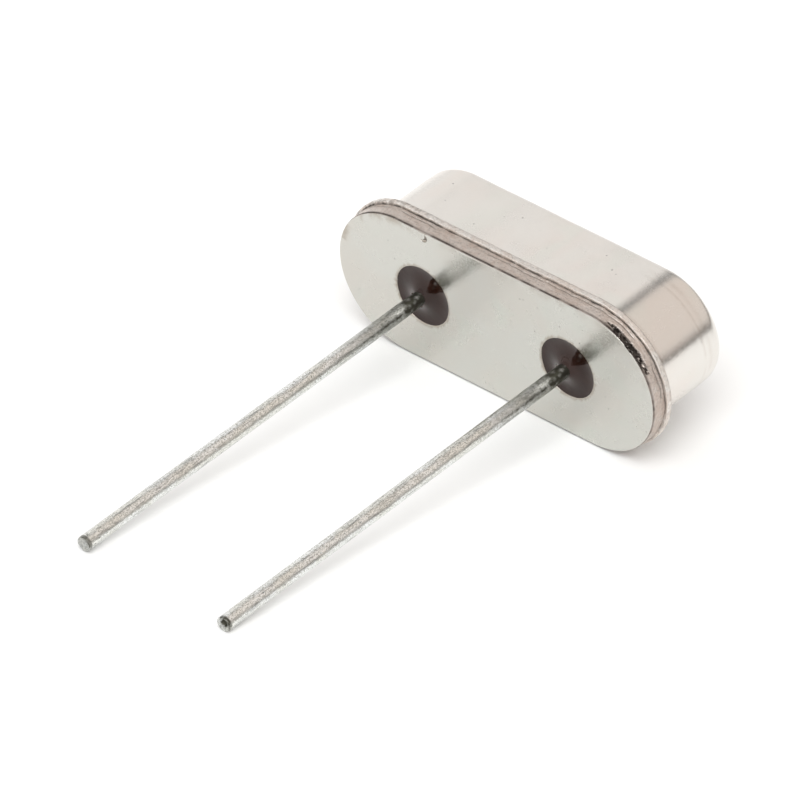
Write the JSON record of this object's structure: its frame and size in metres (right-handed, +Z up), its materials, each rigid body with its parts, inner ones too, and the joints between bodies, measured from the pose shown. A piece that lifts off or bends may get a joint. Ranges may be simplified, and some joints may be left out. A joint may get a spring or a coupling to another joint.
{
  "type": "crystal oscillator",
  "caption": "Sealed quartz crystal unit: low drawn metal cover with a welded lip, stamped base, and straight tinned wire leads in dark glass seals, lying on its side.",
  "frame": {"origin": "middle of the footprint of the unit at rest, on the surface it lies on", "axes": "+Z up; +X along the long side of the cover, from the left lead to the right lead; the leads point along -Y and the crown of the cover along +Y, tipped 8.3 degrees so that the lip's lower edge and the longer lead's tip touch the surface"},
  "size_m": [0.0108, 0.0162, 0.0043],
  "materials": {
    "cover_nickel": "satin",
    "base_nickel": "satin",
    "seal_glass": "gloss",
    "tin_coat": "satin",
    "clip_bronze": "satin",
    "quartz": "gloss",
    "silver_film": "gloss",
    "silver_adhesive": "matte"
  },
  "bodies": {
    "root": {"cover": "cover_nickel", "base_plate": "base_nickel", "glass_seal_left": "seal_glass", "glass_seal_right": "seal_glass", "lead_left": "tin_coat", "lead_right": "tin_coat", "spring_clip_left": "clip_bronze", "spring_clip_right": "clip_bronze", "quartz_blank": "quartz", "upper_electrode": "silver_film", "lower_electrode": "silver_film", "adhesive_left": "silver_adhesive", "adhesive_right": "silver_adhesive"}
  },
  "joints": []
}
